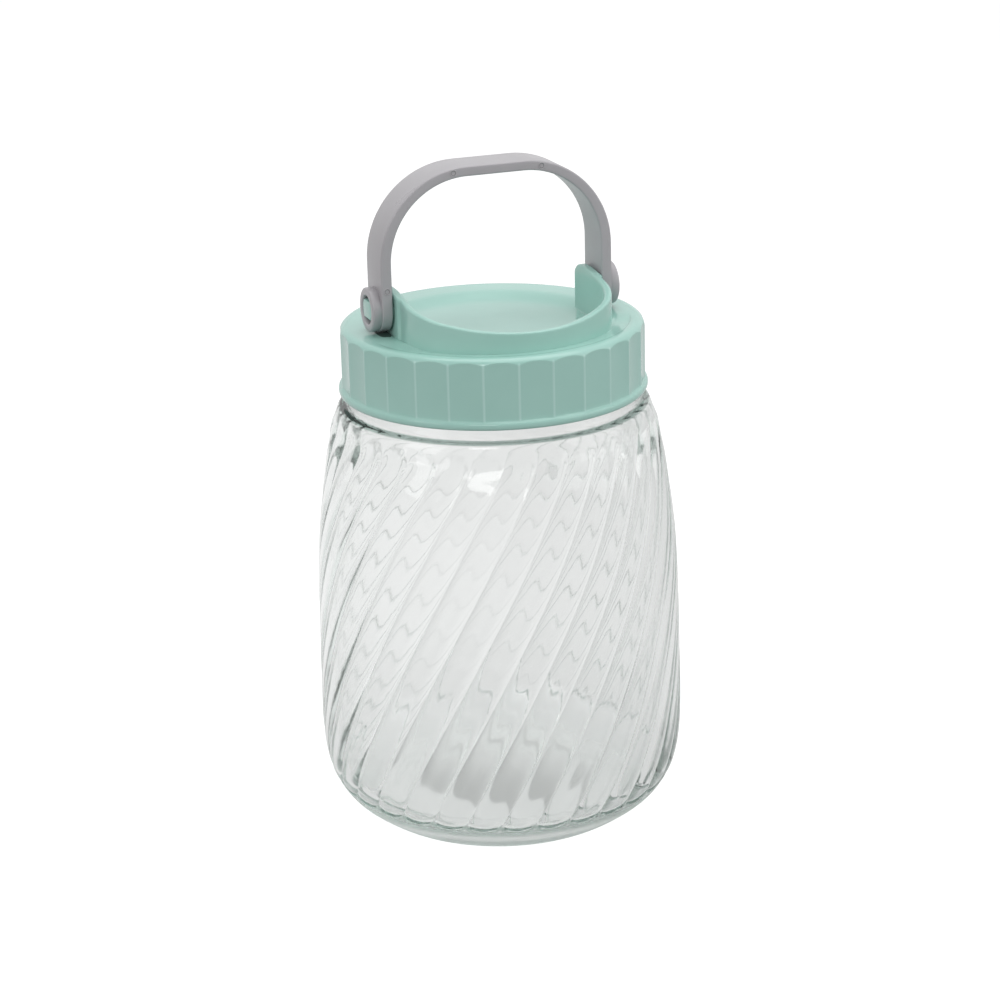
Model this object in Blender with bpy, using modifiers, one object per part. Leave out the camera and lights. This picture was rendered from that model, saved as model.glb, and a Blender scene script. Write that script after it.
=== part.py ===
"""Wide-mouth glass jar with a fluted screw lid and a folding carry handle.

Metres, +Z up. The jar stands on Z = 0 with its axis on Z, and the handle turns about an axis along X.
"""
from math import atan2, cos, hypot, pi, radians, sin

import bmesh
import bpy

MM = 0.001

# Jar
REEDS = 32
REED_COLUMNS = 4
REED_DEPTH = 0.8 * MM
REED_FLATNESS = 3.0
REED_TWIST = radians(0.39) / MM
REED_PHASE = radians(-17.6)
REED_FOOT_Z = 12.0 * MM
REED_TOE_Z = 15.5 * MM
REED_FULL_Z = 19.5 * MM
REED_FADE_Z = 170.0 * MM
REED_TOP_Z = 181.0 * MM
NECK_RADIUS = 59.3 * MM
MOUTH_RADIUS = 55.3 * MM
LIP_Z = 210.85 * MM
FOOT_OUTER = 57.4 * MM
FOOT_INNER = 49.5 * MM

# Lid
LID_BOTTOM_Z = 186.7 * MM
LID_TOP_Z = 215.7 * MM
LID_PLATE = 2.35 * MM
LID_RIDGE_RADIUS = 63.8 * MM
LID_BEAD_RADIUS = 65.0 * MM
LID_BORE_RADIUS = 61.2 * MM
LID_EDGE = 2.6 * MM
LID_FLUTES = 28
LID_FLUTE_COLUMNS = 2
LID_FLUTE_DEPTH = 0.6 * MM
LID_FLUTE_PHASE = radians(2.2)
DISH_DEPTH = 2.7 * MM

# Front wall and ears on the lid
WALL_RADIUS = 51.0 * MM
WALL_WIDTH = 3.0 * MM
WALL_LOW_Z = 223.0 * MM
WALL_BEND = 26.0 * MM
WALL_SWEEP = 2.6
EAR_TOP_Z = 233.6 * MM
EAR_X = 42.9 * MM
EAR_BACK_Y = 12.0 * MM
EAR_ROUND = 4.5 * MM

# Pivot and handle
PIVOT_Z = 225.8 * MM
PAD_RADIUS = 7.4 * MM
PAD_FACE_X = 45.5 * MM
PIN_RADIUS = 5.7 * MM
PIN_HALF_HEIGHT = 4.1 * MM
PIN_END_X = 54.0 * MM
EYE_RADIUS = 9.5 * MM
EYE_INNER_X = 46.0 * MM
EYE_HOLE_RADIUS = 6.0 * MM
RING_RADIUS = 9.2 * MM
RING_FACE_X = 54.5 * MM
STRAP_WIDTH = 19.0 * MM
STRAP_THICKNESS = 4.6 * MM
STRAP_CROWN = 4.1 * MM
STRAP_EDGE = 0.6 * MM
HANDLE_RISE = 57.2 * MM
HANDLE_FLAT = 12.4 * MM
HANDLE_BEND = 38.2 * MM

# Seal
SEAL_INNER = 53.6 * MM
SEAL_OUTER = 60.6 * MM
SEAL_BOTTOM_Z = 211.15 * MM
SEAL_TOP_Z = 213.05 * MM


def clear_scene():
    for ob in list(bpy.data.objects):
        bpy.data.objects.remove(ob, do_unlink=True)


def new_collection(name):
    group = bpy.data.collections.new(name)
    bpy.context.scene.collection.children.link(group)
    return group


def plastic(name, colour, roughness, transmission=0.0):
    mat = bpy.data.materials.new(name)
    mat.use_nodes = True
    shader = mat.node_tree.nodes["Principled BSDF"]
    shader.inputs["Base Color"].default_value = (*colour, 1.0)
    shader.inputs["Roughness"].default_value = roughness
    shader.inputs["Metallic"].default_value = 0.0
    shader.inputs["Transmission Weight"].default_value = transmission
    return mat


def add_object(name, data, group, mat=None):
    ob = bpy.data.objects.new(name, data)
    group.objects.link(ob)
    if mat is not None:
        data.materials.clear()
        data.materials.append(mat)
    return ob


def baked(ob):
    """Replace an object by the mesh that its modifiers or its curve give, with loose seams welded."""
    bpy.context.view_layer.update()
    mesh = bpy.data.meshes.new_from_object(ob.evaluated_get(bpy.context.evaluated_depsgraph_get()))
    work = bmesh.new()
    work.from_mesh(mesh)
    bmesh.ops.remove_doubles(work, verts=work.verts, dist=1e-6)
    work.to_mesh(mesh)
    work.free()
    name = ob.name
    group = ob.users_collection[0]
    matrix = ob.matrix_world.copy()
    bpy.data.objects.remove(ob, do_unlink=True)
    solid = add_object(name, mesh, group)
    solid.matrix_world = matrix
    return solid


def turned(name, profile, steps, group):
    """Turn a profile of (radius, height) points once round Z."""
    mesh = bpy.data.meshes.new(name)
    verts = [(r, 0.0, z) for r, z in profile]
    edges = [(i, i + 1) for i in range(len(profile) - 1)]
    if profile[0][0] > 0.0:
        edges.append((len(profile) - 1, 0))
    mesh.from_pydata(verts, edges, [])
    ob = add_object(name, mesh, group)
    screw = ob.modifiers.new("turn", "SCREW")
    screw.axis = "Z"
    screw.steps = steps
    screw.render_steps = steps
    screw.use_merge_vertices = True
    screw.merge_threshold = 1e-5
    return baked(ob)


def outline(name, points, half_depth, bevel, group):
    """A closed outline in the XY plane, extruded both ways along Z."""
    curve = bpy.data.curves.new(name, "CURVE")
    curve.dimensions = "2D"
    curve.fill_mode = "BOTH"
    curve.extrude = half_depth - bevel
    curve.bevel_depth = bevel
    curve.bevel_resolution = 0
    curve.offset = -bevel
    spline = curve.splines.new("POLY")
    spline.points.add(len(points) - 1)
    for point, (x, y) in zip(spline.points, points):
        point.co = (x, y, 0.0, 1.0)
    spline.use_cyclic_u = True
    return add_object(name, curve, group)


def cross_cylinder(name, radius, x0, x1, group, segments=48):
    """A cylinder along X about the pivot axis."""
    mesh = bpy.data.meshes.new(name)
    work = bmesh.new()
    bmesh.ops.create_cone(work, cap_ends=True, segments=segments, radius1=radius, radius2=radius,
                          depth=abs(x1 - x0))
    work.to_mesh(mesh)
    work.free()
    ob = add_object(name, mesh, group)
    ob.rotation_euler = (0.0, pi / 2, 0.0)
    ob.location = ((x0 + x1) / 2, 0.0, PIVOT_Z)
    return ob


def block(name, size, centre, group):
    mesh = bpy.data.meshes.new(name)
    work = bmesh.new()
    bmesh.ops.create_cube(work, size=1.0)
    bmesh.ops.scale(work, vec=size, verts=work.verts)
    work.to_mesh(mesh)
    work.free()
    ob = add_object(name, mesh, group)
    ob.location = centre
    return ob


def combine(ob, tool, operation):
    tool.hide_render = True
    tool.display_type = "WIRE"
    cut = ob.modifiers.new(operation.lower(), "BOOLEAN")
    cut.operation = operation
    cut.solver = "EXACT"
    cut.object = tool


def smooth_step(a, b, value):
    t = min(1.0, max(0.0, (value - a) / (b - a)))
    return t * t * (3.0 - 2.0 * t)


def between(table, value):
    for (a, fa), (b, fb) in zip(table, table[1:]):
        if value <= b:
            return fa + (fb - fa) * (value - a) / (b - a)
    return table[-1][1]


def arc(cx, cy, radius, a0, a1, count):
    angles = [radians(a0 + (a1 - a0) * i / count) for i in range(count + 1)]
    return [(cx + radius * cos(a), cy + radius * sin(a)) for a in angles]


def build_jar(group, mat):
    # Crest of the reeds from the shoulder down to the heel, as (height, radius) in millimetres
    crest = [(181.0, 65.6), (177.0, 67.4), (170.0, 69.2), (159.0, 71.5), (145.0, 73.6), (128.0, 75.8),
             (109.0, 77.1), (89.0, 77.7), (68.0, 78.1), (48.0, 78.5), (34.0, 78.2), (25.0, 77.0),
             (19.5, 75.7), (15.5, 73.9), (12.0, 72.0)]
    heel = [(6.5, 66.4), (2.0, 60.9), (0.0, FOOT_OUTER / MM), (0.0, FOOT_INNER / MM)]
    push_up = [(2.4, 40.0), (3.6, 0.0)]
    inside = [(8.3, 0.0), (7.8, 42.0), (9.4, 58.0), (18.6, 69.0), (40.0, 73.3), (100.0, 72.5), (155.0, 67.1),
              (171.0, 60.9), (181.0, 59.7), (191.0, 55.6), (LIP_Z / MM - 1.4, MOUTH_RADIUS / MM)]
    lip = [(LIP_Z / MM, 56.3), (LIP_Z / MM, 58.3), (LIP_Z / MM - 1.6, NECK_RADIUS / MM)]
    neck = [(187.8, NECK_RADIUS / MM), (186.2, 61.6), (182.4, 62.2), (181.4, 63.4)]
    profile = [(r * MM, z * MM) for z, r in inside + lip + neck + crest + heel + push_up]
    jar = turned("glass_jar", profile, REEDS * REED_COLUMNS, group)
    crest_by_height = [(h * MM, r * MM) for h, r in reversed(crest)]
    for vert in jar.data.vertices:
        x, y, z = vert.co
        radius = hypot(x, y)
        turn = atan2(y, x)
        # Reeds climb from the heel to the shoulder, and what lies above or inside turns with their top
        climb = REED_TOP_Z - REED_FOOT_Z
        if z < REED_FOOT_Z - 3.0 * MM:
            climb = 0.0
        elif z < REED_TOP_Z + 0.1 * MM and radius > between(crest_by_height, z) - 0.2 * MM:
            climb = max(0.0, z - REED_FOOT_Z)
            across = (turn * REEDS / (2.0 * pi)) % 1.0
            rise = smooth_step(REED_TOE_Z, REED_FULL_Z, z) * (1.0 - smooth_step(REED_FADE_Z, REED_TOP_Z, z))
            radius -= REED_DEPTH * rise * abs(2.0 * across - 1.0) ** REED_FLATNESS
        turn += REED_PHASE - pi / 2 - pi / REEDS + REED_TWIST * climb
        vert.co.x = radius * cos(turn)
        vert.co.y = radius * sin(turn)
    jar.data.materials.append(mat)
    jar.data.shade_smooth()
    jar.data.set_sharp_from_angle(angle=radians(35.0))
    return jar


def build_lid_shell(group):
    # Radius and height of the section, from the middle of the dish over the rim to the underside
    high = LID_TOP_Z
    low = LID_BOTTOM_Z
    ridge = LID_RIDGE_RADIUS
    dish = [(0.0, 1.0), (37.0 * MM, 1.0), (41.5 * MM, 0.81), (45.5 * MM, 0.26), (49.5 * MM, 0.0)]
    top = [(r, high - part * DISH_DEPTH) for r, part in dish]
    edge = [(ridge - LID_EDGE, high), (ridge - 0.3 * LID_EDGE, high - 0.3 * LID_EDGE), (ridge, high - LID_EDGE)]
    bead = [(ridge, low + 3.4 * MM), (LID_BEAD_RADIUS - 0.3 * MM, low + 2.7 * MM),
            (LID_BEAD_RADIUS, low + 1.7 * MM), (LID_BEAD_RADIUS - 0.3 * MM, low + 0.6 * MM),
            (LID_BEAD_RADIUS - 1.0 * MM, low)]
    bore = [(LID_BORE_RADIUS, low), (LID_BORE_RADIUS, high - LID_PLATE - 0.4 * MM)]
    under = [(r, z - LID_PLATE) for r, z in reversed(top)]
    rim = [(LID_BORE_RADIUS - 0.4 * MM, high - LID_PLATE)]
    profile = top + edge + bead + bore + rim + under
    lid = turned("screw_lid", profile, LID_FLUTES * LID_FLUTE_COLUMNS, group)
    for vert in lid.data.vertices:
        x, y, z = vert.co
        radius = hypot(x, y)
        turn = atan2(y, x)
        if LID_RIDGE_RADIUS - 1.0 * MM < radius < LID_RIDGE_RADIUS + 0.05 * MM:
            across = (turn * LID_FLUTES / (2.0 * pi)) % 1.0
            radius -= LID_FLUTE_DEPTH * (1.0 - (2.0 * across - 1.0) ** 2)
        turn += LID_FLUTE_PHASE - pi / 2
        vert.co.x = radius * cos(turn)
        vert.co.y = radius * sin(turn)
    return lid


def wall_top(y):
    """Height of the wall's top edge: low in front, rising to the ears, with a rounded back corner."""
    if y > EAR_BACK_Y - EAR_ROUND:
        drop = (y - EAR_BACK_Y + EAR_ROUND) / EAR_ROUND
        return EAR_TOP_Z - EAR_ROUND * (1.0 - max(0.0, 1.0 - drop * drop) ** 0.5)
    ahead = min(1.0, max(0.0, -y / WALL_RADIUS))
    return WALL_LOW_Z + (EAR_TOP_Z - WALL_LOW_Z) * (1.0 - ahead ** WALL_SWEEP)


def wall_path():
    """Half of the wall's centre line, from the middle of the front to the back edge of the right ear."""
    reach = WALL_RADIUS - WALL_BEND
    join = -((reach ** 2 - (EAR_X - WALL_BEND) ** 2) ** 0.5)
    swing = atan2(EAR_X - WALL_BEND, -join)
    path = [(WALL_RADIUS * sin(swing * i / 10), -WALL_RADIUS * cos(swing * i / 10)) for i in range(10)]
    for i in range(11):
        a = swing + (pi / 2 - swing) * i / 10
        path.append((EAR_X - WALL_BEND + WALL_BEND * sin(a), join - WALL_BEND * cos(a)))
    path += [(EAR_X, y * MM) for y in (-12.0, -6.0, 0.0, 5.0)]
    for i in range(6):
        path.append((EAR_X, EAR_BACK_Y - EAR_ROUND * (1.0 - sin(radians(15.0 * i)))))
    path.append((EAR_X, EAR_BACK_Y))
    return path


def build_wall(group):
    """The front wall and its ears: a ribbon along the path, with its top edge shaped, then thickened."""
    half = wall_path()
    path = [(-x, y) for x, y in reversed(half[1:])] + half
    curve = bpy.data.curves.new("front_wall", "CURVE")
    curve.dimensions = "3D"
    curve.extrude = 5.0 * MM
    spline = curve.splines.new("POLY")
    spline.points.add(len(path) - 1)
    for point, (x, y) in zip(spline.points, path):
        point.co = (x, y, 0.0, 1.0)
    ribbon = baked(add_object("front_wall", curve, group))
    for vert in ribbon.data.vertices:
        x, y, z = vert.co
        if z > 0.0:
            vert.co.z = wall_top(y)
        else:
            vert.co.z = 213.1 * MM + 0.19 * (hypot(x, y) - 43.0 * MM)
    shell = ribbon.modifiers.new("thickness", "SOLIDIFY")
    shell.thickness = WALL_WIDTH
    shell.offset = 0.0
    shell.use_even_offset = True
    return baked(ribbon)


def build_lid(group, tools, mat):
    lid = build_lid_shell(group)
    combine(lid, build_wall(tools), "UNION")
    for side, label in ((1, "right"), (-1, "left")):
        pad = cross_cylinder("pad_" + label, PAD_RADIUS, side * EAR_X, side * PAD_FACE_X, tools)
        combine(lid, pad, "UNION")
        pin = cross_cylinder("pin_" + label, PIN_RADIUS, side * EAR_X, side * PIN_END_X, tools)
        keep = block("pin_flats_" + label, (40.0 * MM, 40.0 * MM, 2.0 * PIN_HALF_HEIGHT),
                     (side * 50.0 * MM, 0.0, PIVOT_Z), tools)
        combine(pin, keep, "INTERSECT")
        combine(lid, pin, "UNION")
    lid = baked(lid)
    lid.data.materials.append(mat)
    lid.data.shade_smooth()
    lid.data.set_sharp_from_angle(angle=radians(35.0))
    return lid


def strap_half(inset, lift):
    """Right half of the strap's outline about the pivot, from the foot of the leg to the middle of the top."""
    leg = EYE_INNER_X + STRAP_THICKNESS - inset
    centre = HANDLE_RISE - HANDLE_BEND + lift
    return [(leg, 0.0)] + arc(HANDLE_FLAT, centre, HANDLE_BEND - inset, 0.0, 90.0, 14)


def build_handle(group, tools, mat):
    outer = strap_half(0.0, 0.0)
    inner = strap_half(STRAP_THICKNESS, STRAP_THICKNESS - STRAP_CROWN)
    points = outer + [(-x, z) for x, z in reversed(outer)] + [(-x, z) for x, z in inner]
    points += list(reversed(inner))
    strap = outline("carry_handle", points, STRAP_WIDTH / 2, STRAP_EDGE, group)
    strap.rotation_euler = (pi / 2, 0.0, 0.0)
    strap.location = (0.0, 0.0, PIVOT_Z)
    handle = baked(strap)
    for side, label in ((1, "right"), (-1, "left")):
        eye = cross_cylinder("eye_" + label, EYE_RADIUS, side * EYE_INNER_X,
                             side * (EYE_INNER_X + STRAP_THICKNESS), tools)
        combine(handle, eye, "UNION")
        ring = cross_cylinder("ring_" + label, RING_RADIUS, side * (EYE_INNER_X + 1.0 * MM),
                              side * RING_FACE_X, tools)
        combine(handle, ring, "UNION")
        hole = cross_cylinder("hole_" + label, EYE_HOLE_RADIUS, side * (EYE_INNER_X - 5.0 * MM),
                              side * (RING_FACE_X + 5.0 * MM), tools)
        combine(handle, hole, "DIFFERENCE")
    handle = baked(handle)
    handle.data.materials.append(mat)
    handle.data.shade_smooth()
    handle.data.set_sharp_from_angle(angle=radians(35.0))
    return handle


def build_seal(group, mat):
    profile = [(SEAL_OUTER, SEAL_TOP_Z), (SEAL_OUTER, SEAL_BOTTOM_Z), (SEAL_INNER, SEAL_BOTTOM_Z),
               (SEAL_INNER, SEAL_TOP_Z)]
    seal = turned("lid_seal", profile, 64, group)
    seal.data.materials.append(mat)
    return seal


def main():
    clear_scene()
    parts = new_collection("carry_jar")
    tools = new_collection("carry_jar_cutters")
    glass = plastic("jar_glass", (0.90, 0.95, 0.93), 0.03, transmission=1.0)
    mint = plastic("mint_plastic", (0.37, 0.62, 0.56), 0.38)
    grey = plastic("grey_plastic", (0.40, 0.39, 0.40), 0.45)
    rubber = plastic("seal_rubber", (0.80, 0.81, 0.78), 0.60)
    build_jar(parts, glass)
    build_seal(parts, rubber)
    lid = build_lid(parts, tools, mint)
    handle = build_handle(parts, tools, grey)
    pivot = bpy.data.objects.new("handle_pivot", None)
    parts.objects.link(pivot)
    pivot.location = (0.0, 0.0, PIVOT_Z)
    bpy.context.view_layer.update()
    handle.parent = pivot
    handle.matrix_parent_inverse = pivot.matrix_world.inverted()
    pivot.parent = lid


main()
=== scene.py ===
"""Looks of the carry jar: fine glass, lid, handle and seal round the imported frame, and a studio."""
from math import asin, atan2, copysign, cos, hypot, pi, radians, sin, sqrt

import bpy
from mathutils import Matrix, Vector


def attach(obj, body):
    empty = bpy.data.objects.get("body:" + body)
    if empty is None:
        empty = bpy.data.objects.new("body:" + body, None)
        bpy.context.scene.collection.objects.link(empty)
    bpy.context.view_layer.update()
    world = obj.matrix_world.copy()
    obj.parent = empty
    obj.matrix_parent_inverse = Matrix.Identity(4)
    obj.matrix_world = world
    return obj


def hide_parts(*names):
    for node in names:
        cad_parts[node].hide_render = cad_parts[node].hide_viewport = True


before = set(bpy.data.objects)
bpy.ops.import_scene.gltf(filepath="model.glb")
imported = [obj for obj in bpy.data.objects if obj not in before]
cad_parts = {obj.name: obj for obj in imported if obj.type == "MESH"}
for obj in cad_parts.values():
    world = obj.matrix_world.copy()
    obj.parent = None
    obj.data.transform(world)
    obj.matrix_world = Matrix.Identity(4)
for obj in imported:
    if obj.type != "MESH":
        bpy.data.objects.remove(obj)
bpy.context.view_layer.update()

# Lengths of the object are in millimetres, those of the studio in metres, and angles in radians
MM = 0.001

# Reeds of the jar, whose twist is for each millimetre of height
REEDS = 32
REED_COLUMNS = 14
REED_DEPTH = 0.8
REED_FACE = 0.38
REED_BOW = 0.2
REED_ROUND = 2.2
REED_TWIST = radians(0.39)
REED_PHASE = radians(-17.6)
REED_FOOT = 12.0
TWIST_LOW = 2.0
TWIST_HIGH = 181.0
GROOVE_FADE = (165.0, 177.0)
CREASE_DEPTH = 0.16
CREASE_START = 0.9
CREASE_FALL = 6.0
TOE_Z = 15.8
TOE_LENGTH = 3.6
TOE_RISE = 0.45
TOE_CUT = 0.4
TOE_CUT_REACH = 0.18
TIP_Z = 176.0
TIP_LENGTH = 9.0

# Plain forms of the jar, and how far apart its rows of points lie
BASE_TOP = 8.3
PUSH_UP = 2.0
NECK_RADIUS = 59.3
NECK_TOP = 209.0
NECK_ROWS = 31
NECK_STEP = 0.66
MOUTH_RADIUS = 55.3
LIP_Z = 210.85
INSIDE_STEP = 5.0
OUTSIDE_STEP = 2.7
FINE_STEP = 0.64
FINE_BELOW = 22.0
FINE_ABOVE = 178.0
PATH_PARTS = 40

# Lid
FLUTES = 28
FLUTE_COLUMNS = 12
FLUTE_DEPTH = 0.7
FLUTE_PHASE = radians(2.2)
RIDGE_RADIUS = 63.8
BEAD_RADIUS = 65.0
BORE_RADIUS = 61.2
BORE_BOTTOM = 187.9
BORE_ROWS = 41
BORE_STEP = 0.6
DISH_Z = 213.0
DISH_UNDER = 210.65
DISH_SLOPE = (38.0, 50.0)
LID_TOP = 215.7
LID_BOTTOM = 186.7
EDGE_ROUND = 3.4
CHANNEL_DEPTH = 0.8
CHANNEL_ENDS = (0.25, 0.5)

# Screw thread, two starts with a right-hand lead
THREAD_LEAD = 13.0
THREAD_SWEEP = radians(215.0)
THREAD_HALF = 1.25
THREAD_FADE = 0.25
THREAD_ROUND = 0.7
THREAD_START = 193.0
NECK_THREAD = 1.25
LID_THREAD = 1.0

# Front wall and ears
WALL_RADIUS = 51.0
WALL_HALF = 1.5
WALL_LOW = 223.0
WALL_BEND = 26.0
WALL_SWEEP = 1.4
WALL_ROUND = 0.9
EAR_TOP = 233.6
EAR_X = 42.9
EAR_BACK = 10.4
EAR_ROUND = 6.5
EAR_FRONT = -13.6
EAR_PROUD = 0.8
EAR_TAPER = 1.2
EAR_THINNING = 1.0

# Pins, and the flat dark sheets of painted shadow below them
PIVOT_Z = 225.8
PIN_RADIUS = 5.7
PIN_HALF_HEIGHT = 3.8
PIN_ROOT = 44.5
PIN_END = 54.3
LEG_SHADOW_X = 48.6
LEG_SHADOW_HALF_WIDTH = 2.6
LEG_SHADOW_HALF_LENGTH = 8.4
LEG_SHADOW_SINK = 0.2
LEG_SHADOW_PROUD = 0.03

# Handle
STRAP_WIDTH = 19.0
STRAP_THICKNESS = 4.6
STRAP_CROWN = 4.1
STRAP_CORNER = 0.75
STRAP_LEAST_SQUARE = 0.15
EYE_RADIUS = 6.0
DRILL_REACH = 60.0
HANDLE_RISE = 57.2
HANDLE_FLAT = 12.4
HANDLE_BEND = 38.2

# Round pieces, and the bends above which an edge stays sharp
ROUND_SEGMENTS = 96
LEG_SHADOW_SEGMENTS = 64
MARK_SEGMENTS = 32
SEAL_SEGMENTS = 160
LID_SHARP = radians(50.0)
STRAP_SHARP = radians(40.0)
SIDES = ((1, "right"), (-1, "left"))

# Colours: a darker and a lighter one for each surface whose colour drifts
MINT = ((0.345, 0.590, 0.525), (0.375, 0.625, 0.560))
# Paler mint painted along the lid's ridges as a highlight
MINT_RIDGE_HIGHLIGHT = (0.45, 0.685, 0.63)
# Near-black mint painted as the shadow under each leg of the handle
MINT_SHADE = ((0.035, 0.075, 0.064), (0.05, 0.095, 0.082))
GREY = ((0.400, 0.388, 0.406), (0.430, 0.418, 0.438))
# Dark grey painted as shade in the ejector marks' hollows
GREY_SHADE = ((0.15, 0.147, 0.15), (0.19, 0.187, 0.19))
RUBBER = ((0.74, 0.75, 0.72), (0.84, 0.85, 0.82))
GLASS_CLEAR = (0.99, 0.993, 0.991)
# Dark green painted as shade in fine lines on the glass
GLASS_PAINTED_SHADE = (0.25, 0.335, 0.305)
GLASS_SHADOW = (0.93, 0.96, 0.95)
GLASS_TINT = (0.68, 0.81, 0.755)
GLASS_DENSITY = 8.0

# Where looks change: not begun at the first height or radius, complete at the second
NECK_DULL = (181.5, 183.5)
HEEL_DULL = (15.2, 13.5)
HEEL_OUTSIDE = (55.5, 57.5)
HEEL_SLOPE = 0.95
# Band of the painted dark line along the ledge under the neck
LEDGE_FOOT = (180.6, 181.0)
LEDGE_HEAD = (182.2, 181.7)
LEDGE_OUTSIDE = (61.2, 61.6)
RIDGE_OUTSIDE = (63.2, 63.7)
RIDGE_FOOT = (189.9, 190.6)

# Fine lines along the ridges (a painted highlight) and round the toes (painted shade), with their
# fades in shares of a pitch
RIDGE_LINE = (0.05, 0.012)
TOE_LINE = (0.43, 0.36)
TOE_LINE_Z = TOE_Z - 0.35
TOE_LINE_HALF = 0.55
TOE_LINE_BOW = 1.9

# Studio: brightness of floor and room, each as place and level, then lamps and camera
FLOOR_HALF = 6.0
FLOOR_Z = -0.0001
FLOOR_WHITE = 0.80
# Painted light falloff on the floor as glass shows it: brighter left, darker right
FLOOR_LEVELS = [(0.0, 0.73), (0.33, 0.72), (0.45, 0.69), (0.55, 0.64), (0.67, 0.60), (1.0, 0.55)]
FLOOR_ACROSS = (0.94, -0.34, 0.0)
FLOOR_REACH = 0.4
# Painted contact shadow on the floor under the jar, as glass shows it
PATCH_PLACE = (0.0027, 0.0075, 0.0)
PATCH_TURN = (0.0, 0.0, radians(-20.0))
PATCH_SIZE = (0.040, 0.034, 1.0)
PATCH_DIM = 0.5
ROOM_LEVELS = [(0.0, 0.25), (0.35, 0.35), (0.55, 0.75), (0.7, 0.9)]
ROOM_AHEAD = (0.17, 0.47, 0.0)
ROOM_FILL = 0.5
LAMP_AIM = (0.0, 0.0, 0.15)
LAMPS = [
    ("overhead", (0.2, 0.1, 1.5), (1.3, 1.1), 8.6),
    ("window", (-0.58, -1.06, 1.06), (0.50, 0.36), 2.7),
    ("side", (1.2, -0.75, 0.85), (1.3, 1.1), 5.9),
    ("left", (-1.45, -0.45, 0.95), (0.8, 0.8), 4.1),
]
CAMERA_LENS = 92.6
CAMERA_SENSOR = 36.0
CAMERA_SHIFT = 0.0036
CAMERA_DOWN = radians(18.92)
CAMERA_SIDE = radians(20.0)
CAMERA_ROLL = radians(1.49)
CAMERA_AIM = (0.0, 0.0, 0.1357)
CAMERA_DISTANCE = 1.1


# Mesh helpers

def in_metres(points):
    return [(x * MM, y * MM, z * MM) for x, y, z in points]


def add_to_scene(name, data):
    ob = bpy.data.objects.new(name, data)
    bpy.context.scene.collection.objects.link(ob)
    return ob


def new_object(name, verts, faces, material, body, node=None, sharp=None):
    """A smooth mesh from points in millimetres, riding on a body.

    It stands for a node if one is named, and keeps edges that bend by more than sharp.
    """
    mesh = bpy.data.meshes.new(name)
    mesh.from_pydata(in_metres(verts), [], faces)
    mesh.materials.append(material)
    mesh.shade_smooth()
    if sharp is not None:
        mesh.set_sharp_from_angle(angle=sharp)
    ob = add_to_scene(name, mesh)
    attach(ob, body)
    if node is not None:
        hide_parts(node)
    return ob


def skin(rows, start=None, end=None, loop=False, capped=False):
    """Vertices and faces of closed rings joined in order.

    The ends are poles, or flat caps, or the last ring is joined to the first.
    """
    count = len(rows[0])
    last = (len(rows) - 1) * count
    verts = [point for row in rows for point in row]
    faces = []
    pairs = [(i, i + 1) for i in range(len(rows) - 1)]
    if loop:
        pairs.append((len(rows) - 1, 0))
    for a, b in pairs:
        for j in range(count):
            k = (j + 1) % count
            faces.append((a * count + j, b * count + j, b * count + k, a * count + k))
    if start is not None:
        verts.append(start)
        pole = len(verts) - 1
        faces += [(pole, j, (j + 1) % count) for j in range(count)]
    if end is not None:
        verts.append(end)
        pole = len(verts) - 1
        faces += [(last + j, pole, last + (j + 1) % count) for j in range(count)]
    if capped:
        faces.append(tuple(range(count)))
        faces.append(tuple(reversed(range(last, last + count))))
    return verts, faces


def turned_over(faces):
    return [tuple(reversed(face)) for face in faces]


def circle(count):
    """Even angles round a full turn."""
    return [2 * pi * k / count for k in range(count)]


def ring(angles, radius, height):
    """Points round the jar's axis; radius and height are one number each, or a list by angle."""
    radii = radius if isinstance(radius, list) else [radius] * len(angles)
    heights = height if isinstance(height, list) else [height] * len(angles)
    return [(r * cos(a), r * sin(a), z) for a, r, z in zip(angles, radii, heights)]


def smooth_step(a, b, value):
    """0 at a, 1 at b, smooth between."""
    t = min(1.0, max(0.0, (value - a) / (b - a)))
    return t * t * (3.0 - 2.0 * t)


def smooth_path(points, step):
    """Points along a smooth curve through the given ones, spaced by step(point)."""
    before = (2 * points[0][0] - points[1][0], 2 * points[0][1] - points[1][1])
    after = (2 * points[-1][0] - points[-2][0], 2 * points[-1][1] - points[-2][1])
    chain = [Vector(p) for p in [before] + points + [after]]
    dense = []
    for p0, p1, p2, p3 in zip(chain, chain[1:], chain[2:], chain[3:]):
        t1 = max(1e-6, (p1 - p0).length ** 0.5)
        t2 = t1 + max(1e-6, (p2 - p1).length ** 0.5)
        t3 = t2 + max(1e-6, (p3 - p2).length ** 0.5)
        for i in range(PATH_PARTS):
            t = t1 + (t2 - t1) * i / PATH_PARTS
            a1 = p0 * ((t1 - t) / t1) + p1 * (t / t1)
            a2 = p1 * ((t2 - t) / (t2 - t1)) + p2 * ((t - t1) / (t2 - t1))
            a3 = p2 * ((t3 - t) / (t3 - t2)) + p3 * ((t - t2) / (t3 - t2))
            b1 = a1 * ((t2 - t) / t2) + a2 * (t / t2)
            b2 = a2 * ((t3 - t) / (t3 - t1)) + a3 * ((t - t1) / (t3 - t1))
            dense.append(b1 * ((t2 - t) / (t2 - t1)) + b2 * ((t - t1) / (t2 - t1)))
    dense.append(chain[-2])
    path = [dense[0]]
    run = 0.0
    for a, b in zip(dense, dense[1:]):
        run += (b - a).length
        if run >= step(b):
            path.append(b)
            run = 0.0
    if (path[-1] - dense[-1]).length > 0.3 * step(dense[-1]):
        path.append(dense[-1])
    else:
        path[-1] = dense[-1]
    return [(p.x, p.y) for p in path]


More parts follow.
